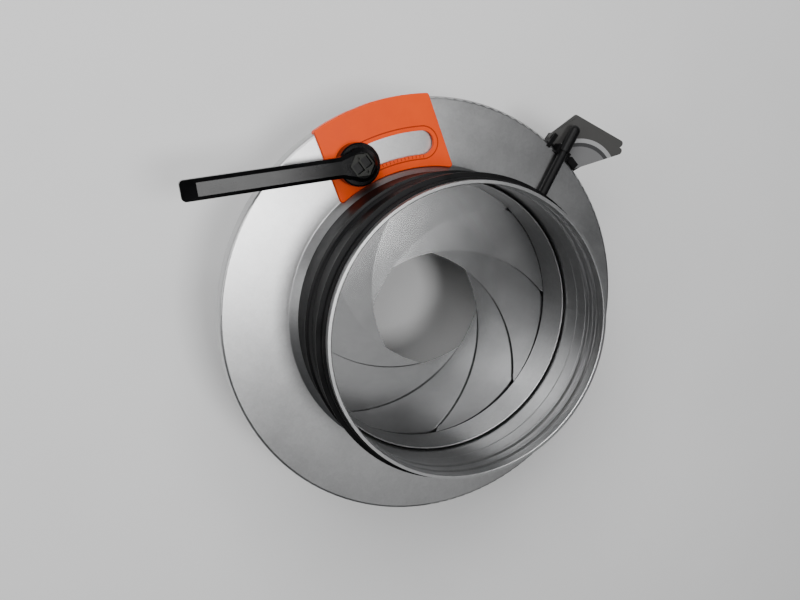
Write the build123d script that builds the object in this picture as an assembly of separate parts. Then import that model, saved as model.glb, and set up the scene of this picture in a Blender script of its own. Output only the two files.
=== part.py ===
from build123d import *

import math
import os

# Iris damper for a round duct, standing on the rim of its rear spigot.
# Millimetres. +Z runs along the duct axis and the handle side faces up.
# Angles are degrees counter-clockwise from +X, seen from the handle side.

# Sheet metal shells
sheet = 0.8                  # thickness of both shells
spigot_radius = 74.3         # outside of the spigot nose
root_step = 1.0              # how much wider the spigot is near the flange
spigot_length = 56.0         # flange face to rim
root_length = 28.0           # length of the wider root
step_length = 2.0            # length of the step between root and nose
flare_width = 4.7            # cone between flange and spigot, measured outwards
flare_height = 4.7
flare_bend = 0.5             # bend radius where that cone leaves the flange
shoulder_bend = 1.2          # bend radius where it meets the spigot
step_bend = 0.8              # bend radius at both ends of the step
seam_land = 1.0              # flat part of a spigot's foot, up to its seam with the flange
bead_places = (40.0, 47.0)   # grooves rolled into the nose, from the flange face
bead_width = 4.0
bead_depth = 0.6
bead_bend = 0.8
hem_height = 4.0             # folded rim of the spigot
hem_width = 1.8
hem_round = 0.5
flange_width = 40.7          # housing past the outside of the spigot nose
housing_depth = 12.0         # front flange face to rear flange face
edge_bend = 0.7              # bend radius at the edge of the housing
lip_reach = 4.0              # how far the front shell folds over the rear flange
lip_bend = 0.3

# Clearances
running_clearance = 0.06     # radial, on pivots and guides that turn
cam_clearance = 0.1          # radial, drive stud in its slot
seat_clearance = 0.05        # between fixed pieces that fit together
face_clearance = 0.3         # between flat faces that slide past each other

# Rubber lip seals
seal_start = 5.3             # distance from the flange face
seal_end = 51.5
seal_wall = 1.0              # sleeve thickness
seal_end_bevel = 0.6
lip_height = 3.3             # of both lips above the spigot nose
lip_land = 1.6               # width of a lip's rim
lip_ramp = 2.4               # length of the slope that leads up to a lip
lip_back = 0.7               # length of the slope behind a lip
first_lip = 24.5             # distance of each lip's rim from the flange face
second_lip = 45.0

# Guide rings inside the spigot roots, which leave a slot for measuring pressure
pressure_slot = 1.1          # gap between guide ring and spigot root
guide_wall = 0.8
guide_height = 16.0          # above the flange face
guide_foot = 4.0             # flange of a guide ring past the spigot's flare
front_guide_flange = 2.4     # flange thickness, front ring
rear_guide_flange = 0.8      # flange thickness, rear ring
guide_wiper = 1.3            # wall of the front ring below its flange, close to the blades
guide_round = 0.3

# Iris blades
blade_count = 8
blade_thickness = 0.5
blade_cover = 1.6            # open blades stay this far behind the guide rings
blade_edge_inset = 5.0       # outer edge inside the circle of the pivots
closed_opening = 30.0        # radius left open at rest
pivot_inset = 8.0            # circle of the pivots inside the edge of the housing
first_side_angle = 108.0     # direction of the middle of one side of the opening
blade_slope = 0.037          # fall of each blade from its pivot to its tail
slope_direction = 132.0      # of that fall, from the pivot's radius, when open
blade_lug_radius = 5.0
edge_start = 9.6             # where the inner edge starts, from the pivot's radius
outer_start = 9.0            # where the outer edge starts
tail_end = 100.0             # where both edges end
tail_round = 6.0
heel_round = 4.0

# Drive studs and pivots
stud_radius = 1.5
stud_distance = 10.0         # from the blade's pivot
stud_lean = 42.0             # from the pivot's inward radius, at rest
stud_head_radius = 2.5
stud_head_height = 0.6
stud_drop = 0.2              # stud top below the top of the control ring
post_radius = 2.5
post_collar_radius = 4.0
rivet_radius = 2.0
rivet_head_radius = 3.4
rivet_head_height = 1.0
rivet_head_round = 0.5
clip_thickness = 0.7         # push-on retaining washer on each post

# Control ring
ring_thickness = 1.2
ring_overreach = 0.5         # past the circle of the pivots
ring_head_gap = 0.4          # control ring to the heads of the pivots

# Scale plate
plate_angle = 108.0          # direction of its middle
plate_width = 64.4
plate_thickness = 2.2
plate_overhang = 1.2         # inner edge past the foot of the spigot's flare
plate_lean = 3.0             # of both ends, from the radius of its middle
plate_hook_wall = 1.4        # part that hooks over the edge of the housing
plate_hook_depth = 4.0
plate_corner = 1.4
plate_edge_round = 0.6
slot_half_width = 6.2
slot_margin = 0.3            # extra half width of the slot in the shell
border_offset = 1.9          # groove around the slot
border_width = 0.7
engraving_depth = 0.3
tick_count = 18
tick_width = 0.5
tick_length = 1.6

# Clamping lever
hub_margin = 11.4            # circle on which the clamp travels, past the foot of the spigot's flare
hub_angle = 118.5            # at rest
lever_length = 88.8
lever_direction = 187.3      # at rest
lever_width = 10.3
lever_thickness = 6.0
lever_raise = 6.5            # underside of the arm above the underside of the disc
lever_end_round = 2.2
lever_bevel = 1.9
slope_length = 7.5           # top of the arm that slopes down to its end
slope_drop = 2.4
disc_radius = 11.0
disc_height = 7.4
disc_bevel = 0.8
head_radius = 8.4
neck_length = 11.0           # from the hub to where the arm is straight
screw_radius = 3.0
screw_head_flats = 10.0
screw_head_height = 3.2
insert_flats = 11.4
insert_height = 2.4
insert_recess = 0.6          # insert top below lever top
insert_pocket = (4.2, 5.4)
insert_pocket_depth = 2.0
insert_web = 0.9             # between the two pockets
insert_turn = 30.0           # row of the pockets, from the arm
insert_dimple_radius = 0.8
disc_floor = 6.1             # under the screw head
bush_radius = 6.0
nut_width = 11.0
nut_thickness = 1.0
nut_corner = 1.5

# Measuring nozzles
nozzle_radius = 2.5
nozzle_bore_radius = 1.5
nozzle_height = 4.1          # axis above the flange face
nozzle_root_angle = 40.9
nozzle_inset = 0.4           # inner end inside the wall of the spigot root
nozzle_skew = 20.0           # lean away from the radius
nozzle_reach = 13.2          # tube past the edge of the housing
cap_radius = 3.1
cap_grip = 13.0              # length over the tube
cap_end = 3.0                # length past the tube
flip_angle = 43.9            # the rear nozzle is the front one turned over this radius

# Chart card and its clip
clip_angle = 47.0
clip_width = 23.2
clip_overlap = 2.5           # over the flange
clip_reach = 6.0             # past the edge of the housing
clip_top = 1.0               # tab above the flange face
clip_base_drop = 1.0         # base below the flange face
clip_bottom = 6.5            # below the flange face
tab_width = 2.4
saddle_width = 9.0
saddle_top = 4.2
saddle_reach = 2.5
foot_width = 6.0             # jaw at the other end, level with the flange face
foot_reach = 4.0
card_angle = 47.5
card_corners = ((-12.5, 0.0), (15.0, 0.0), (33.6, 30.2), (-6.6, 20.6))
card_thickness = 0.6
card_gap = 0.3               # between the two leaves
card_corner = 2.0            # rounding
card_seat_gap = 1.2          # start of the leaves past the edge of the housing
card_drop = 3.0              # below the flange face at that radius
card_tilt = 12.0
card_turns = (0.0, 5.0)      # of the front and back leaf in their plane

# Heights worked out from the sizes above
rear_z = spigot_length
front_z = rear_z + housing_depth
middle_z = (rear_z + front_z) / 2
front_inside_z = front_z - sheet
rear_inside_z = rear_z + sheet
ring_top_z = front_inside_z - face_clearance
ring_bottom_z = ring_top_z - ring_thickness
clip_top_z = ring_bottom_z - ring_head_gap
clip_bottom_z = clip_top_z - clip_thickness
blade_top_z = clip_bottom_z - face_clearance
plate_top_z = front_z + plate_thickness
lever_bottom_z = plate_top_z + face_clearance
lever_arm_z = lever_bottom_z + lever_raise
lever_top_z = lever_arm_z + lever_thickness
screw_seat_z = lever_bottom_z + disc_floor

# Radii worked out from the sizes above
flange_radius = spigot_radius + flange_width
root_radius = spigot_radius + root_step
root_inner_radius = root_radius - sheet
guide_outer_radius = root_inner_radius - pressure_slot
guide_inner_radius = guide_outer_radius - guide_wall
skirt_inner_radius = flange_radius - sheet
flare_radius = root_radius + flare_width
seam_radius = flare_radius + seam_land
lip_radius = spigot_radius + lip_height
guide_flange_radius = flare_radius + guide_foot
pivot_radius = flange_radius - pivot_inset
blade_inner_radius = guide_outer_radius + blade_cover
blade_outer_radius = pivot_radius - blade_edge_inset
ring_outer_radius = pivot_radius + ring_overreach
plate_inner_radius = flare_radius - plate_overhang
hub_radius = flare_radius + hub_margin
nozzle_root_radius = root_inner_radius + nozzle_inset
clip_inner_radius = flange_radius - clip_overlap
clip_outer_radius = flange_radius + clip_reach
saddle_outer_radius = flange_radius + saddle_reach
foot_outer_radius = flange_radius + foot_reach
card_seat_radius = flange_radius + card_seat_gap
plate_outer_radius = flange_radius + seat_clearance + plate_hook_wall

# Angles worked out from the sizes above
swing = 2 * math.degrees(math.asin((blade_inner_radius - closed_opening) / (2 * pivot_radius)))
blade_pitch = 360.0 / blade_count
first_pivot_angle = first_side_angle - 90.0 - swing / 2
pivot_angles = [first_pivot_angle + i * blade_pitch for i in range(blade_count)]
open_hub_angle = hub_angle - swing

# Length at which a nozzle that leans reaches its radius
nozzle_offset = nozzle_root_radius * math.sin(math.radians(nozzle_skew))
nozzle_start = nozzle_root_radius * math.cos(math.radians(nozzle_skew))
nozzle_length = math.sqrt((flange_radius + nozzle_reach) ** 2 - nozzle_offset ** 2) - nozzle_start

# Directions of the clip's saddle under the nozzle, of its tab and of its foot
nozzle_heading = nozzle_root_angle + nozzle_skew
saddle_angle = nozzle_heading - math.degrees(math.asin(nozzle_offset / flange_radius))
tab_angle = clip_angle + math.degrees((clip_width - tab_width) / (2 * flange_radius))
foot_angle = clip_angle - math.degrees((clip_width - foot_width) / (2 * flange_radius))


def polar(radius, angle):
    """Point at a radius and an angle in degrees."""
    return Vector(radius * math.cos(math.radians(angle)), radius * math.sin(math.radians(angle)))


def offset_points(points, distance):
    """Points of an open path moved to its left, with mitred corners."""
    path = [Vector(*point) for point in points]
    runs = [(b - a).normalized() for a, b in zip(path, path[1:])]
    normals = [Vector(-run.Y, run.X) for run in runs]
    moved = []
    for point, before, after in zip(path, normals[:1] + normals, normals + normals[-1:]):
        mitre = (before + after).normalized()
        moved.append(point + mitre * (distance / mitre.dot(after)))
    return moved


def sheet_section(points, thickness, bends):
    """Section of a bent sheet along a middle line, with one inside bend radius per corner."""
    path = [Vector(*point) for point in points]
    runs = [b - a for a, b in zip(path, path[1:])]
    left_turns = [a.cross(b).Z > 0 for a, b in zip(runs, runs[1:])]
    left_radii = [r if left else r + thickness for r, left in zip(bends, left_turns)]
    right_radii = [r + thickness if left else r for r, left in zip(bends, left_turns)]
    left = offset_points(points, thickness / 2)
    right = offset_points(points, -thickness / 2)
    outline = Curve() + [
        FilletPolyline(*left, radius=left_radii),
        Line(left[-1], right[-1]),
        FilletPolyline(*right, radius=right_radii),
        Line(right[0], left[0]),
    ]
    return make_face(outline)


def section_box(radius_in, radius_out, z_low, z_high):
    """Rectangle in a half section."""
    middle = Pos((radius_in + radius_out) / 2, (z_low + z_high) / 2)
    return middle * Rectangle(radius_out - radius_in, z_high - z_low)


def turned(section):
    """Solid of revolution about the duct axis."""
    return revolve(Plane.XZ * section, axis=Axis.Z)


def cylinder(radius, z_low, z_high, point=(0, 0)):
    """Upright cylinder between two heights."""
    return extrude(Pos(point[0], point[1], z_low) * Circle(radius), z_high - z_low)


def arc_slot(radius, start, end, half_width, centre=(0, 0)):
    """Curved slot with round ends, centred on an arc from start to end."""
    return SlotArc(CenterArc(centre, radius, start, end - start), 2 * half_width)


def over_front(height):
    """Height above the front flange face as a height in the model."""
    return front_z + height


def under_rear(height):
    """Distance below the rear flange face as a height in the model."""
    return rear_z - height


def bead_points(middle):
    """Depth and height of the corners of one rolled groove."""
    return [
        (0, middle - bead_width / 2),
        (bead_depth, middle - bead_width / 4),
        (bead_depth, middle + bead_width / 4),
        (0, middle + bead_width / 2),
    ]


def spigot_line(place):
    """Middle line of the sheet from the flange to the rim."""
    root = root_radius - sheet / 2
    nose = spigot_radius - sheet / 2
    line = [
        (root + flare_width, -sheet / 2),
        (root, flare_height - sheet / 2),
        (root, root_length),
        (nose, root_length + step_length),
    ]
    for middle in bead_places:
        line += [(nose - depth, height) for depth, height in bead_points(middle)]
    line.append((nose, spigot_length))
    return [(radius, place(height)) for radius, height in line]


def spigot_bends():
    """Bend radii along that line, from its first point."""
    bead_bends = [bead_bend for middle in bead_places for corner in bead_points(middle)]
    return [flare_bend, shoulder_bend, step_bend, step_bend] + bead_bends


def hem_section(place):
    """Rim folded inwards on itself."""
    middle = Pos(spigot_radius - hem_width / 2, place(spigot_length - hem_height / 2))
    return middle * RectangleRounded(hem_width, hem_height, hem_round)


def spigot_core():
    """Cylinder that holds a spigot and the curve at its root, out to the seam on the flange."""
    return cylinder(seam_radius, under_rear(spigot_length), over_front(spigot_length))


def make_front_shell():
    """Front flange with its spigot, its skirt and the lip folded over the rear flange."""
    skirt = flange_radius - sheet / 2
    line = [
        (flange_radius - lip_reach, rear_z - sheet / 2),
        (skirt, rear_z - sheet / 2),
        (skirt, front_z - sheet / 2),
    ] + spigot_line(over_front)
    section = sheet_section(line, sheet, [lip_bend, edge_bend] + spigot_bends())
    shell = turned(section + hem_section(over_front))
    slot = arc_slot(hub_radius, open_hub_angle, hub_angle, slot_half_width + slot_margin)
    shell -= extrude(Pos(0, 0, front_z - sheet) * slot, sheet)
    return shell - nozzle_hole()


def make_rear_shell():
    """Rear flange with its spigot and the rivet holes of the pivots."""
    edge = skirt_inner_radius - lip_bend - seat_clearance
    line = [(edge, rear_z + sheet / 2)] + spigot_line(under_rear)
    section = sheet_section(line, sheet, spigot_bends())
    shell = turned(section + hem_section(under_rear))
    for angle in pivot_angles:
        point = polar(pivot_radius, angle)
        shell -= cylinder(rivet_radius + seat_clearance, rear_z, rear_inside_z, (point.X, point.Y))
    return shell - turned_over(nozzle_hole())


def make_seal(place):
    """Rubber sleeve with two lips, stretched over the spigot."""
    root_in = root_radius + seat_clearance
    nose_in = spigot_radius + seat_clearance
    root_out = root_in + seal_wall
    nose_out = nose_in + seal_wall
    root_top = root_length + seat_clearance
    points = [
        (root_in, seal_start),
        (root_out - seal_end_bevel, seal_start),
        (root_out, seal_start + seal_end_bevel),
        (root_out, first_lip - lip_ramp),
        (lip_radius, first_lip),
        (lip_radius, first_lip + lip_land),
        (root_out, first_lip + lip_land + lip_back),
        (root_out, root_top),
        (nose_out, root_top + step_length),
        (nose_out, second_lip - lip_ramp),
        (lip_radius, second_lip),
        (lip_radius, second_lip + lip_land),
        (nose_out, second_lip + lip_land + lip_back),
        (nose_out, seal_end - seal_end_bevel),
        (nose_out - seal_end_bevel, seal_end),
        (nose_in, seal_end),
        (nose_in, root_top + step_length),
        (root_in, root_top),
    ]
    return turned(make_face(Polyline(*[(r, place(h)) for r, h in points], close=True)))


def make_guide_ring(place, flange_thickness, wiper):
    """Ring that covers the blade roots and leaves an annular slot at the spigot wall."""
    under = place(-sheet)
    bottom = place(-sheet - flange_thickness)
    edge = place(-sheet - flange_thickness - wiper)
    top = place(guide_height)
    band = section_box(guide_inner_radius, guide_outer_radius, min(edge, top), max(edge, top))
    flange = section_box(guide_inner_radius, guide_flange_radius, min(bottom, under), max(bottom, under))
    ring = turned(band + flange)
    rim = [edge for edge in ring.edges() if abs(edge.center().Z - top) < seat_clearance]
    return fillet(rim, guide_round)


def tangent_point(point, centre, radius, side):
    """Point where a line from outside touches a circle, on the side +1 or -1."""
    reach = point - centre
    spread = math.degrees(math.acos(radius / reach.length))
    heading = math.degrees(math.atan2(reach.Y, reach.X))
    return centre + polar(radius, heading + side * spread)


def corner_at(face, point):
    """Corner of a flat face nearest to a point."""
    return min(face.vertices(), key=lambda corner: (corner.center() - point).length)


def blade_outline():
    """Outline of a blade at full opening, with its pivot on +X."""
    pivot = polar(pivot_radius, 0)
    heel = polar(blade_inner_radius, edge_start)
    tail_in = polar(blade_inner_radius, tail_end)
    tail_out = polar(blade_outer_radius, tail_end)
    shoulder = polar(blade_outer_radius, outer_start)
    lug_out = tangent_point(shoulder, pivot, blade_lug_radius, -1)
    lug_in = tangent_point(heel, pivot, blade_lug_radius, 1)
    lug_far = pivot + (pivot * 2 - lug_out - lug_in).normalized() * blade_lug_radius
    outline = Curve() + [
        ThreePointArc(heel, polar(blade_inner_radius, (edge_start + tail_end) / 2), tail_in),
        Line(tail_in, tail_out),
        ThreePointArc(tail_out, polar(blade_outer_radius, (outer_start + tail_end) / 2), shoulder),
        Line(shoulder, lug_out),
        ThreePointArc(lug_out, lug_far, lug_in),
        Line(lug_in, heel),
    ]
    face = make_face(outline)
    face = fillet([corner_at(face, tail_in), corner_at(face, tail_out)], tail_round)
    return fillet(corner_at(face, heel), heel_round)


def stud_point():
    """Drive stud's place on a blade at full opening, with its pivot on +X."""
    return polar(pivot_radius, 0) + polar(stud_distance, 180.0 - stud_lean - swing)


def blade_fall(point):
    """How far a blade has dropped below its pivot at a point of its open outline."""
    return blade_slope * (point - polar(pivot_radius, 0)).dot(polar(1.0, slope_direction))


def at_rest(piece, index):
    """Swing a piece of the open blade to its place at rest."""
    closed = piece.rotate(Axis((pivot_radius, 0, 0), (0, 0, 1)), swing)
    return Rot(0, 0, pivot_angles[index]) * closed


def make_blade(index):
    """Flat blade that leans, so that each one passes over the next."""
    flat = extrude(blade_outline(), -blade_thickness)
    hinge = Axis((pivot_radius, 0, 0), tuple(polar(1.0, slope_direction + 90)))
    blade = Pos(0, 0, blade_top_z) * flat.rotate(hinge, math.degrees(math.atan(blade_slope)))
    for point, radius in (
        (polar(pivot_radius, 0), post_radius + running_clearance),
        (stud_point(), stud_radius + seat_clearance),
    ):
        blade -= cylinder(radius, rear_z, front_z, (point.X, point.Y))
    return at_rest(blade, index)


def make_drive_stud(index):
    """Headed stud fixed in a blade, running in a slot of the control ring."""
    point = stud_point()
    place = (point.X, point.Y)
    under = blade_top_z - blade_fall(point) - blade_thickness
    head_top = under - blade_slope * stud_head_radius - seat_clearance
    stud = cylinder(stud_radius, head_top, ring_top_z - stud_drop, place)
    stud += cylinder(stud_head_radius, head_top - stud_head_height, head_top, place)
    return at_rest(stud, index)


def make_pivot_post(index):
    """Riveted post that a blade swings on, with a collar that carries the blade."""
    collar_top = blade_top_z - blade_thickness - blade_slope * post_collar_radius - face_clearance
    post = cylinder(rivet_radius, rear_z, rear_inside_z)
    head = cylinder(rivet_head_radius, rear_z - rivet_head_height, rear_z)
    post += fillet(head.edges().group_by(Axis.Z)[0], rivet_head_round)
    post += cylinder(post_collar_radius, rear_inside_z, collar_top)
    post += cylinder(post_radius, collar_top, clip_top_z)
    return Rot(0, 0, pivot_angles[index]) * (Pos(pivot_radius, 0) * post)


def make_pivot_clips():
    """Push-on washers at the heads of the posts."""
    washer = cylinder(post_collar_radius, clip_bottom_z, clip_top_z)
    washer -= cylinder(post_radius + seat_clearance, clip_bottom_z, clip_top_z)
    washer = Pos(pivot_radius, 0) * washer
    return Compound(children=[Rot(0, 0, angle) * washer for angle in pivot_angles])


def make_control_ring():
    """Ring that the lever turns, with one slot per blade that steers its stud."""
    face = Circle(ring_outer_radius) - Circle(guide_flange_radius + running_clearance)
    offset = polar(stud_distance, 180.0 - stud_lean)
    play = math.degrees(face_clearance / pivot_radius)
    slot = arc_slot(pivot_radius, -play, swing + play, stud_radius + cam_clearance, (offset.X, offset.Y))
    for angle in pivot_angles:
        face -= Rot(0, 0, angle) * slot
    hub = polar(hub_radius, hub_angle)
    face -= Pos(hub.X, hub.Y) * Circle(screw_radius + running_clearance)
    return extrude(Pos(0, 0, ring_bottom_z) * face, ring_thickness)


def plate_band(radius_in, radius_out):
    """Part of a flat ring between the leaning ends of the scale plate, with its outer middle on +Y."""
    span = plate_outer_radius
    strip = Pos(0, span) * (Rot(0, 0, plate_lean) * (Pos(0, -span / 2) * Rectangle(plate_width, span)))
    return (Circle(radius_out) - Circle(radius_in)) & strip


def flare_room():
    """Space of the front spigot's flare and of the clearance around it."""
    foot = flare_radius + seat_clearance
    shoulder = root_radius + seat_clearance
    top = over_front(flare_height)
    corners = [(root_inner_radius, front_z), (foot, front_z), (shoulder, top), (root_inner_radius, top)]
    return turned(make_face(Polyline(*corners, close=True)))


def make_scale_plate():
    """Moulded plate that hooks over the edge of the housing, with a slot, a groove and ticks."""
    face = plate_band(plate_inner_radius, plate_outer_radius)
    face = fillet(face.vertices(), plate_corner)
    plate = extrude(Pos(0, 0, front_z) * face, plate_thickness)
    plate = fillet(plate.edges().group_by(Axis.Z)[-1], plate_edge_round)
    hook_face = plate_band(flange_radius + seat_clearance, plate_outer_radius) & face
    plate += extrude(Pos(0, 0, front_z - plate_hook_depth) * hook_face, plate_hook_depth)
    plate = Rot(0, 0, plate_angle - 90) * plate - flare_room()
    plate -= extrude(Pos(0, 0, front_z) * plate_slot(0), plate_thickness)
    floor_z = plate_top_z - engraving_depth
    border = plate_slot(border_offset + border_width) - plate_slot(border_offset)
    plate -= extrude(Pos(0, 0, floor_z) * border, engraving_depth)
    tick_radius = hub_radius - slot_half_width - tick_length / 2
    tick = Pos(tick_radius, 0, floor_z) * Rectangle(tick_length, tick_width)
    for i in range(tick_count):
        angle = open_hub_angle + swing * i / (tick_count - 1)
        plate -= extrude(Rot(0, 0, angle) * tick, engraving_depth)
    return plate


def plate_slot(extra):
    """Slot that the clamp travels in, widened all round."""
    return arc_slot(hub_radius, open_hub_angle, hub_angle, slot_half_width + extra)


def at_hub(piece):
    """Move a piece made around the origin to the clamp."""
    hub = polar(hub_radius, hub_angle)
    return Pos(hub.X, hub.Y) * (Rot(0, 0, lever_direction) * piece)


def make_guide_bush():
    """Bush that slides in the plate's slot and stops at its ends."""
    bush = cylinder(bush_radius, ring_top_z, plate_top_z)
    return at_hub(bush - cylinder(screw_radius + running_clearance, ring_top_z, plate_top_z))


def make_clamp_nut():
    """Thin square nut fixed under the control ring."""
    face = RectangleRounded(nut_width, nut_width, nut_corner) - Circle(screw_radius + running_clearance)
    return at_hub(extrude(Pos(0, 0, ring_bottom_z - nut_thickness) * face, nut_thickness))


def hexagon(flats):
    """Hexagon of a width across flats."""
    return RegularPolygon(flats / 2, 6, major_radius=False)


def make_clamp_screw():
    """Hexagon screw that the lever turns."""
    screw = cylinder(screw_radius, ring_bottom_z - nut_thickness, screw_seat_z)
    head = extrude(Pos(0, 0, screw_seat_z) * hexagon(screw_head_flats), screw_head_height)
    return at_hub(screw + head)


def make_clamp_lever():
    """Moulded lever with a round disc, a round head and a straight arm that slopes at its end."""
    half = lever_width / 2
    neck = make_face(Polyline(
        (0, head_radius), (neck_length, half), (neck_length, -half), (0, -head_radius), close=True))
    arm = Pos(lever_length / 2, 0) * Rectangle(lever_length, lever_width)
    arm = fillet(arm.vertices().group_by(Axis.X)[-1], lever_end_round)
    plan = Circle(head_radius) + neck + arm
    lever = extrude(Pos(0, 0, lever_arm_z) * plan, lever_thickness)
    lever = chamfer(lever.edges().group_by(Axis.Z)[-1], lever_bevel)
    slope = make_face(Polyline(
        (lever_length - slope_length, lever_top_z), (lever_length, lever_top_z),
        (lever_length, lever_top_z - slope_drop), close=True))
    lever -= extrude(Plane.XZ * slope, lever_width, both=True)
    disc = cylinder(disc_radius, lever_bottom_z, lever_bottom_z + disc_height)
    disc = chamfer(disc.edges().group_by(Axis.Z)[-1], disc_bevel)
    lever += disc
    lever -= cylinder(screw_radius + seat_clearance, lever_bottom_z, lever_top_z)
    head_pocket = hexagon(screw_head_flats + 2 * seat_clearance)
    lever -= extrude(Pos(0, 0, screw_seat_z) * head_pocket, lever_top_z - screw_seat_z)
    insert_pocket_face = hexagon(insert_flats + 2 * seat_clearance)
    insert_low = lever_top_z - insert_recess - insert_height
    lever -= extrude(Pos(0, 0, insert_low) * insert_pocket_face, lever_top_z - insert_low)
    return at_hub(lever)


def make_lever_insert():
    """Hexagon plug over the screw head, with two pockets and two dimples."""
    top = lever_top_z - insert_recess
    insert = extrude(Pos(0, 0, top - insert_height) * hexagon(insert_flats), insert_height)
    insert = chamfer(insert.edges().group_by(Axis.Z)[-1], engraving_depth)
    turn = Rot(0, 0, insert_turn)
    pocket_middle = (insert_pocket[0] + insert_web) / 2
    dimple_middle = (insert_pocket[1] + insert_web) / 2 + insert_dimple_radius
    for side in (-1, 1):
        pocket = Pos(side * pocket_middle, 0, top - insert_pocket_depth) * Rectangle(*insert_pocket)
        insert -= turn * extrude(pocket, insert_pocket_depth)
        dimple = (0, side * dimple_middle)
        insert -= turn * cylinder(insert_dimple_radius, top - insert_pocket_depth / 2, top, dimple)
    return at_hub(insert)


def along_nozzle(start, end, radius):
    """Cylinder along the axis of the front nozzle, between two distances from its inner end."""
    root = polar(nozzle_root_radius, nozzle_root_angle)
    heading = polar(1.0, nozzle_heading)
    origin = root + heading * start + Vector(0, 0, over_front(nozzle_height))
    return extrude(Plane(origin, z_dir=heading) * Circle(radius), end - start)


def nozzle_hole():
    """Hole for the front nozzle in the root of the spigot."""
    return along_nozzle(-nozzle_radius, 2 * nozzle_radius, nozzle_radius + seat_clearance)


def turned_over(piece):
    """The same piece for the rear side, turned half a turn about a radius."""
    return piece.rotate(Axis((0, 0, middle_z), tuple(polar(1.0, flip_angle))), 180)


def make_nozzle():
    """Tube that leads the pressure out past the edge of the housing."""
    tube = along_nozzle(0, nozzle_length, nozzle_radius)
    return tube - along_nozzle(0, nozzle_length, nozzle_bore_radius)


def make_nozzle_cap():
    """Closed rubber cap on the end of a nozzle."""
    start = nozzle_length - cap_grip
    cap = along_nozzle(start, nozzle_length + cap_end, cap_radius)
    ends = [edge for edge in cap.edges() if edge.geom_type == GeomType.CIRCLE]
    far = max(ends, key=lambda edge: edge.center().length)
    cap = fillet([far], cap_end - seat_clearance)
    return cap - along_nozzle(start, nozzle_length + seat_clearance, nozzle_radius + seat_clearance)


def card_plane(depth):
    """Plane of the card at a depth below its front, with its local X along the housing edge."""
    seat = polar(card_seat_radius, card_angle) + Vector(0, 0, over_front(-card_drop))
    sideways = polar(1.0, card_angle - 90)
    plane = Plane(seat, x_dir=sideways, z_dir=(0, 0, 1)).rotated((card_tilt, 0, 0))
    return plane.offset(-depth)


def make_card(depth, turn):
    """One printed leaf, turned a little in its plane."""
    leaf = make_face(Polyline(*card_corners, close=True))
    leaf = Rot(0, 0, turn) * fillet(leaf.vertices(), card_corner)
    lowest = leaf.bounding_box().min.Y
    return extrude(card_plane(depth) * (Pos(0, -lowest) * leaf), -card_thickness)


def clip_block(angle, width, outer_radius, low, high):
    """Block of the clip in a direction, from the flange outwards, between two heights."""
    length = outer_radius - clip_inner_radius
    face = Pos(clip_inner_radius + length / 2, 0) * Rectangle(length, width)
    return Rot(0, 0, angle) * extrude(Pos(0, 0, over_front(low)) * face, high - low)


def make_card_clip():
    """Clip on the housing that grips the card, with a saddle for the nozzle, a tab and a foot."""
    card_left, card_right = card_corners[0][0], card_corners[1][0]
    slit_length = 2 * (clip_outer_radius - card_seat_radius)
    slit_height = 2 * card_thickness + card_gap + 2 * seat_clearance
    slit = Pos(0, slit_length / 2 - seat_clearance) * Rectangle(2 * (card_right - card_left), slit_length)
    clip = clip_block(clip_angle, clip_width, clip_outer_radius, -clip_bottom, -clip_base_drop)
    clip -= extrude(card_plane(slit_height - seat_clearance) * slit, clip_bottom)
    jaws = clip_block(tab_angle, tab_width, clip_outer_radius, -clip_bottom, clip_top)
    jaws += clip_block(saddle_angle, saddle_width, saddle_outer_radius, -clip_bottom, saddle_top)
    jaws += clip_block(foot_angle, foot_width, foot_outer_radius, -clip_bottom, 0)
    clip += jaws - extrude(card_plane(-seat_clearance) * slit, -slit_height)
    clip -= cylinder(flange_radius + seat_clearance, rear_z, front_z)
    clip -= along_nozzle(0, nozzle_length, nozzle_radius + seat_clearance)
    return clip - along_nozzle(nozzle_length - cap_grip, nozzle_length, cap_radius + seat_clearance)


def make_parts():
    """Every piece by name."""
    front_shell = make_front_shell()
    rear_shell = make_rear_shell()
    parts = {
        "front_flange": front_shell - spigot_core(),
        "front_spigot": front_shell & spigot_core(),
        "rear_flange": rear_shell - spigot_core(),
        "rear_spigot": rear_shell & spigot_core(),
        "front_seal": make_seal(over_front) - nozzle_hole(),
        "rear_seal": make_seal(under_rear) - turned_over(nozzle_hole()),
        "front_guide_ring": make_guide_ring(over_front, front_guide_flange, guide_wiper),
        "rear_guide_ring": make_guide_ring(under_rear, rear_guide_flange, 0),
        "control_ring": make_control_ring(),
        "pivot_clips": make_pivot_clips(),
        "scale_plate": make_scale_plate(),
        "guide_bush": make_guide_bush(),
        "clamp_nut": make_clamp_nut(),
        "clamp_screw": make_clamp_screw(),
        "clamp_lever": make_clamp_lever(),
        "lever_insert": make_lever_insert(),
        "front_nozzle": make_nozzle(),
        "rear_nozzle": turned_over(make_nozzle()),
        "front_nozzle_cap": make_nozzle_cap(),
        "rear_nozzle_cap": turned_over(make_nozzle_cap()),
        "card_clip": make_card_clip(),
        "front_card": make_card(0, card_turns[0]),
        "back_card": make_card(card_thickness + card_gap, card_turns[1]),
    }
    for index in range(blade_count):
        number = index + 1
        parts[f"blade_{number}"] = make_blade(index)
        parts[f"drive_stud_{number}"] = make_drive_stud(index)
        parts[f"pivot_post_{number}"] = make_pivot_post(index)
    return parts


def main():
    os.makedirs("parts", exist_ok=True)
    for name, piece in make_parts().items():
        export_step(piece, f"parts/{name}.step")


if __name__ == "__main__":
    main()
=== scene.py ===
import math

import bpy
from mathutils import Matrix, Vector


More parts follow.
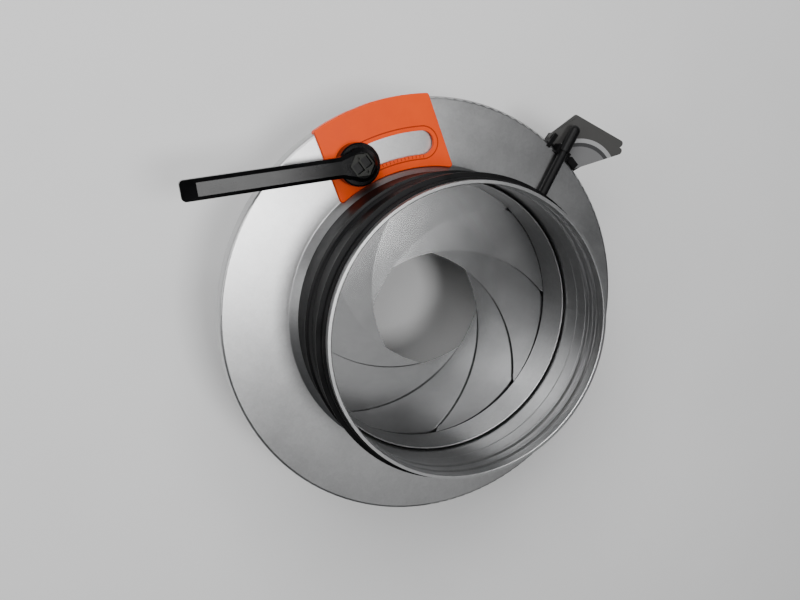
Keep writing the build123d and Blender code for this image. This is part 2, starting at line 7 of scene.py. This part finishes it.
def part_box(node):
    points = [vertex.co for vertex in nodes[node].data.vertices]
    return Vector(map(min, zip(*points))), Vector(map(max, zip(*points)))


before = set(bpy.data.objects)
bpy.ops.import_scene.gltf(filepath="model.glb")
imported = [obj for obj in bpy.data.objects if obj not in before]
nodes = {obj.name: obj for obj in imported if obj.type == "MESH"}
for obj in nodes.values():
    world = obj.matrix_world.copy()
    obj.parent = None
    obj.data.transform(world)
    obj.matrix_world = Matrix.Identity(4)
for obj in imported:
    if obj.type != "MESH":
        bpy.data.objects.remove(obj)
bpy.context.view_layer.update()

MM = 0.001
BLADES = 8
FRONT_FACE = 68.0               # height of the front flange face, mm

# Camera, fitted to the rims that the photo shows
FRAME_PIXELS = 800.0            # width of the picture
FOCAL_PIXELS = 800.0            # focal length
SENSOR = 36.0                   # width of the sensor, mm
CLIP_START = 0.01               # nearest distance that is drawn, m
CAMERA_TURN = 20.36             # degrees about the photo's upright
CAMERA_TIP = 11.49              # degrees about the photo's level
CAMERA_DISTANCE = 440.05        # mm from the middle of the flange face
CAMERA_SHIFT = (17.46, -6.22)   # mm to the photo's right and up

# Patterns of the surfaces, in repeats per metre
CRYSTALS = 420.0
ZINC_CLOUDS = 42.0
ZINC_GRAIN = 850.0
MOULD_CLOUDS = 90.0
MOULD_GRAIN = 2600.0
CARD_CLOUDS = 300.0
CARD_GRAIN = 1800.0
FLOOR_CLOUDS = 6.0

# Finish of the surfaces
PATTERN_LOW, PATTERN_HIGH = 0.3, 0.7    # part of a noise pattern that is spread over a range
PATTERN_ROUGHNESS = 0.55
CRYSTAL_SHARE = 0.14            # share of the crystals in the colour of the zinc
GRAIN_HEIGHT = 0.0001           # height of the grain where the relief is one, m
BLACK_DARK = (0.002, 0.002, 0.0022)
BLACK_LIGHT = (0.005, 0.005, 0.0055)
ENGRAVING = 0.3                 # depth of the marks in the scale plate, whose floors are painted a darker orange as painted shade, mm
POCKET = 1.4                    # depth from which the pockets of the insert are painted black as painted shade, mm

# Printed card: colours from a distance outwards, round the centre of its curved bands, mm
CARD_CENTRE = (91.2, 63.1, 66.0)
CARD_REACH = 60.0
CARD_BANDS = [(0.0, (0.18, 0.18, 0.183)), (25.4, (0.05, 0.05, 0.052)), (27.5, (0.36, 0.36, 0.365)),
              (29.8, (0.065, 0.064, 0.062))]
CARD_ROUGH = (0.45, 0.6)
CARD_RELIEF = 0.05

# Floor
FLOOR_SIZE = 8.0                # m
FLOOR_DARK = (0.86, 0.86, 0.86)
FLOOR_LIGHT = (0.90, 0.90, 0.90)
FLOOR_ROUGHNESS = 0.9

# Soft boxes: name, place in metres, width in metres, power in watts
SOFT_BOXES = [
    ("overhead", (0.06, 0.01, 1.5), 0.4, 8.6),
    ("key", (-0.75, 0.55, 1.2), 0.7, 5.0),
    ("upper_left", (-0.6, 0.9, 1.0), 0.6, 6.0),
    ("top", (0.0, 1.1, 1.0), 0.6, 6.1),
    ("left", (-1.2, 0.1, 0.8), 0.6, 3.4),
    ("low_fill", (0.5, -0.6, 1.4), 0.5, 0.5),
]
LIGHT_TARGET = (0, 0, 0.06)     # about the middle of the damper, m
WORLD_COLOUR = (0.75, 0.78, 0.82, 1.0)
WORLD_STRENGTH = 0.06

# Sockets of a colour mix node
COLOUR_A, COLOUR_B, COLOUR_RESULT = 6, 7, 2


def new_material(name):
    """Node material with a principled shader, and the object coordinates."""
    material = bpy.data.materials.new(name)
    material.use_nodes = True
    tree = material.node_tree
    shader = tree.nodes["Principled BSDF"]
    coords = tree.nodes.new("ShaderNodeTexCoord").outputs["Object"]
    return material, tree, shader, coords


def noise(tree, coords, scale, detail=3.0):
    """Noise pattern, as a factor."""
    node = tree.nodes.new("ShaderNodeTexNoise")
    node.inputs["Scale"].default_value = scale
    node.inputs["Detail"].default_value = detail
    node.inputs["Roughness"].default_value = PATTERN_ROUGHNESS
    tree.links.new(coords, node.inputs["Vector"])
    return node.outputs["Fac"]


def spread(tree, factor, low, high):
    """Factor mapped to a range, from the middle part of a noise pattern."""
    node = tree.nodes.new("ShaderNodeMapRange")
    node.inputs["From Min"].default_value = PATTERN_LOW
    node.inputs["From Max"].default_value = PATTERN_HIGH
    node.inputs["To Min"].default_value = low
    node.inputs["To Max"].default_value = high
    tree.links.new(factor, node.inputs["Value"])
    return node.outputs["Result"]


def ramp(tree, factor, stops, interpolation="LINEAR"):
    """Colour ramp with stops of (position, colour)."""
    node = tree.nodes.new("ShaderNodeValToRGB")
    node.color_ramp.interpolation = interpolation
    elements = node.color_ramp.elements
    while len(elements) < len(stops):
        elements.new(0.5)
    for element, (position, colour) in zip(elements, stops):
        element.position = position
        element.color = (*colour, 1.0)
    tree.links.new(factor, node.inputs["Fac"])
    return node.outputs["Color"]


def two_tones(tree, factor, dark, light):
    """Colour from dark to light, over the middle part of a noise pattern."""
    return ramp(tree, factor, [(PATTERN_LOW, dark), (PATTERN_HIGH, light)])


def bump(tree, shader, factor, relief):
    """Fine relief, which at one is as high as the grain."""
    node = tree.nodes.new("ShaderNodeBump")
    node.inputs["Strength"].default_value = relief
    node.inputs["Distance"].default_value = GRAIN_HEIGHT
    tree.links.new(factor, node.inputs["Height"])
    tree.links.new(node.outputs["Normal"], shader.inputs["Normal"])


def mix_factor(tree, a, b, share):
    """Two factors mixed, with a share of b."""
    node = tree.nodes.new("ShaderNodeMix")
    node.data_type = "FLOAT"
    node.inputs["Factor"].default_value = share
    tree.links.new(a, node.inputs["A"])
    tree.links.new(b, node.inputs["B"])
    return node.outputs["Result"]


def mix_colour(tree, factor, a, b):
    """Colour a, or b where the factor is one."""
    node = tree.nodes.new("ShaderNodeMix")
    node.data_type = "RGBA"
    tree.links.new(factor, node.inputs["Factor"])
    tree.links.new(a, node.inputs[COLOUR_A])
    node.inputs[COLOUR_B].default_value = (*b, 1.0)
    return node.outputs[COLOUR_RESULT]


def height_mask(tree, coords, operation, height, tolerance=0.0):
    """One where a point's height compares with a height in metres."""
    separate = tree.nodes.new("ShaderNodeSeparateXYZ")
    tree.links.new(coords, separate.inputs["Vector"])
    node = tree.nodes.new("ShaderNodeMath")
    node.operation = operation
    node.inputs[1].default_value = height
    node.inputs[2].default_value = tolerance
    tree.links.new(separate.outputs["Z"], node.inputs[0])
    return node.outputs["Value"]


def galvanised(name, dark, light, rough, relief, grain_share=0.5):
    """Zinc-coated steel with faint crystals, cloudy patches and a fine grain."""
    material, tree, shader, coords = new_material(name)
    cells = tree.nodes.new("ShaderNodeTexVoronoi")
    cells.inputs["Scale"].default_value = CRYSTALS
    tree.links.new(coords, cells.inputs["Vector"])
    separate = tree.nodes.new("ShaderNodeSeparateColor")
    tree.links.new(cells.outputs["Color"], separate.inputs["Color"])
    cloudy = noise(tree, coords, ZINC_CLOUDS, detail=5.0)
    grain = noise(tree, coords, ZINC_GRAIN)
    patches = mix_factor(tree, cloudy, grain, grain_share)
    factor = mix_factor(tree, patches, separate.outputs["Red"], CRYSTAL_SHARE)
    tree.links.new(two_tones(tree, factor, dark, light), shader.inputs["Base Color"])
    tree.links.new(spread(tree, patches, *rough), shader.inputs["Roughness"])
    bump(tree, shader, grain, relief)
    shader.inputs["Metallic"].default_value = 1.0
    return material


def moulded(name, dark, light, rough, relief, specular, mask=None, painted_shade=None):
    """Plastic or rubber with a fine moulded grain.

    Where a mask of (operation, height, tolerance) says so, it has a darker colour that is painted shade in
    recesses.
    """
    material, tree, shader, coords = new_material(name)
    cloudy = noise(tree, coords, MOULD_CLOUDS, detail=4.0)
    colour = two_tones(tree, cloudy, dark, light)
    # painted shade: the masked recesses get the darker colour
    if mask:
        colour = mix_colour(tree, height_mask(tree, coords, *mask), colour, painted_shade)
    tree.links.new(colour, shader.inputs["Base Color"])
    tree.links.new(spread(tree, cloudy, *rough), shader.inputs["Roughness"])
    bump(tree, shader, noise(tree, coords, MOULD_GRAIN, detail=2.0), relief)
    shader.inputs["Specular IOR Level"].default_value = specular
    return material


def printed_card(name):
    """Card with plain curved bands."""
    material, tree, shader, coords = new_material(name)
    distance = tree.nodes.new("ShaderNodeVectorMath")
    distance.operation = "DISTANCE"
    distance.inputs[1].default_value = [c * MM for c in CARD_CENTRE]
    tree.links.new(coords, distance.inputs[0])
    share = tree.nodes.new("ShaderNodeMath")
    share.operation = "DIVIDE"
    share.inputs[1].default_value = CARD_REACH * MM
    tree.links.new(distance.outputs["Value"], share.inputs[0])
    bands = [(place / CARD_REACH, colour) for place, colour in CARD_BANDS]
    tree.links.new(ramp(tree, share.outputs["Value"], bands, "CONSTANT"), shader.inputs["Base Color"])
    tree.links.new(spread(tree, noise(tree, coords, CARD_CLOUDS), *CARD_ROUGH), shader.inputs["Roughness"])
    bump(tree, shader, noise(tree, coords, CARD_GRAIN), CARD_RELIEF)
    return material


def each(name):
    """Names of the nodes that every blade has one of."""
    return [f"{name}_{i}" for i in range(1, BLADES + 1)]


def dress(material, *names):
    """Give CAD nodes a material."""
    for name in names:
        mesh = nodes[name].data
        mesh.materials.clear()
        mesh.materials.append(material)


plate_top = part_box("scale_plate")[1][2]
insert_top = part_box("lever_insert")[1][2]
# Painted shade: the floors of the engraved marks in the scale plate get a darker orange
painted_engraving_shade = ("COMPARE", plate_top - ENGRAVING * MM, ENGRAVING * MM / 4)
# Painted shade: the insert is painted near-black deep in its pockets
painted_pocket_shade = ("LESS_THAN", insert_top - POCKET * MM)

sheet = galvanised("galvanised_sheet", dark=(0.46, 0.462, 0.465), light=(0.55, 0.552, 0.555),
                   rough=(0.29, 0.35), relief=0.10)
blade = galvanised("blade_steel", dark=(0.33, 0.332, 0.335), light=(0.38, 0.382, 0.385),
                   rough=(0.23, 0.26), relief=0.004, grain_share=0.15)
plain = galvanised("plain_steel", dark=(0.30, 0.30, 0.29), light=(0.42, 0.42, 0.41),
                   rough=(0.28, 0.42), relief=0.05)
rubber = moulded("seal_rubber", dark=BLACK_DARK, light=BLACK_LIGHT,
                 rough=(0.38, 0.52), relief=0.10, specular=0.2)
# the scale plate's deeper orange is painted shade on the floors of its engraved marks
orange = moulded("orange_plastic", dark=(0.86, 0.068, 0.002), light=(0.92, 0.080, 0.003),
                 rough=(0.40, 0.52), relief=0.06, specular=0.15, mask=painted_engraving_shade, painted_shade=(0.42, 0.032, 0.002))
black = moulded("black_plastic", dark=BLACK_DARK, light=BLACK_LIGHT,
                rough=(0.38, 0.50), relief=0.10, specular=0.15)
handle = moulded("handle_plastic", dark=BLACK_DARK, light=BLACK_LIGHT,
                 rough=(0.16, 0.20), relief=0.03, specular=0.15)
# the insert's near-black is painted shade deep in its pockets
insert = moulded("insert_plastic", dark=(0.010, 0.0105, 0.0085), light=(0.022, 0.023, 0.019),
                 rough=(0.28, 0.42), relief=0.08, specular=0.2, mask=painted_pocket_shade, painted_shade=(0.002, 0.002, 0.002))
card = printed_card("printed_card")

dress(sheet, "front_flange", "front_spigot", "rear_flange", "rear_spigot")
dress(sheet, "front_guide_ring", "rear_guide_ring", "control_ring")
dress(blade, *each("blade"))
dress(plain, "pivot_clips", "clamp_nut", "clamp_screw", *each("drive_stud"), *each("pivot_post"))
dress(rubber, "front_seal", "rear_seal", "front_nozzle_cap", "rear_nozzle_cap")
dress(orange, "scale_plate")
dress(black, "guide_bush", "front_nozzle", "rear_nozzle", "card_clip")
dress(handle, "clamp_lever")
dress(insert, "lever_insert")
dress(card, "front_card", "back_card")


def make_floor():
    """Pale floor under the damper."""
    bpy.ops.mesh.primitive_plane_add(size=FLOOR_SIZE, location=(0, 0, 0))
    floor = bpy.context.object
    floor.name = "floor"
    material, tree, shader, coords = new_material("floor_paint")
    cloudy = noise(tree, coords, FLOOR_CLOUDS)
    tree.links.new(two_tones(tree, cloudy, FLOOR_DARK, FLOOR_LIGHT), shader.inputs["Base Color"])
    shader.inputs["Roughness"].default_value = FLOOR_ROUGHNESS
    floor.data.materials.append(material)


def make_camera():
    """Camera at the photo's angle."""
    turn = Matrix.Rotation(math.radians(CAMERA_TURN), 3, "Y")
    tip = Matrix.Rotation(math.radians(CAMERA_TIP), 3, "X")
    axes = (tip @ turn).transposed()
    place = axes @ Vector((-CAMERA_SHIFT[0], -CAMERA_SHIFT[1], CAMERA_DISTANCE))
    place += Vector((0, 0, FRONT_FACE))
    data = bpy.data.cameras.new("camera")
    data.sensor_width = SENSOR
    data.lens = SENSOR * FOCAL_PIXELS / FRAME_PIXELS
    data.clip_start = CLIP_START
    camera = bpy.data.objects.new("camera", data)
    bpy.context.collection.objects.link(camera)
    camera.matrix_world = Matrix.Translation(place * MM) @ axes.to_4x4()
    bpy.context.scene.camera = camera


def soft_box(name, place, width, power):
    """Square area light, aimed at the damper."""
    data = bpy.data.lights.new(name, "AREA")
    data.size = width
    data.energy = power
    light = bpy.data.objects.new(name, data)
    bpy.context.collection.objects.link(light)
    light.location = place
    light.rotation_euler = (Vector(LIGHT_TARGET) - Vector(place)).to_track_quat("-Z", "Y").to_euler()


def make_lights():
    """Soft studio light: one box overhead, and others round the upper left of the photo."""
    for box in SOFT_BOXES:
        soft_box(*box)
    world = bpy.data.worlds.new("studio")
    world.use_nodes = True
    background = world.node_tree.nodes["Background"]
    background.inputs["Color"].default_value = WORLD_COLOUR
    background.inputs["Strength"].default_value = WORLD_STRENGTH
    bpy.context.scene.world = world


make_floor()
make_camera()
make_lights()
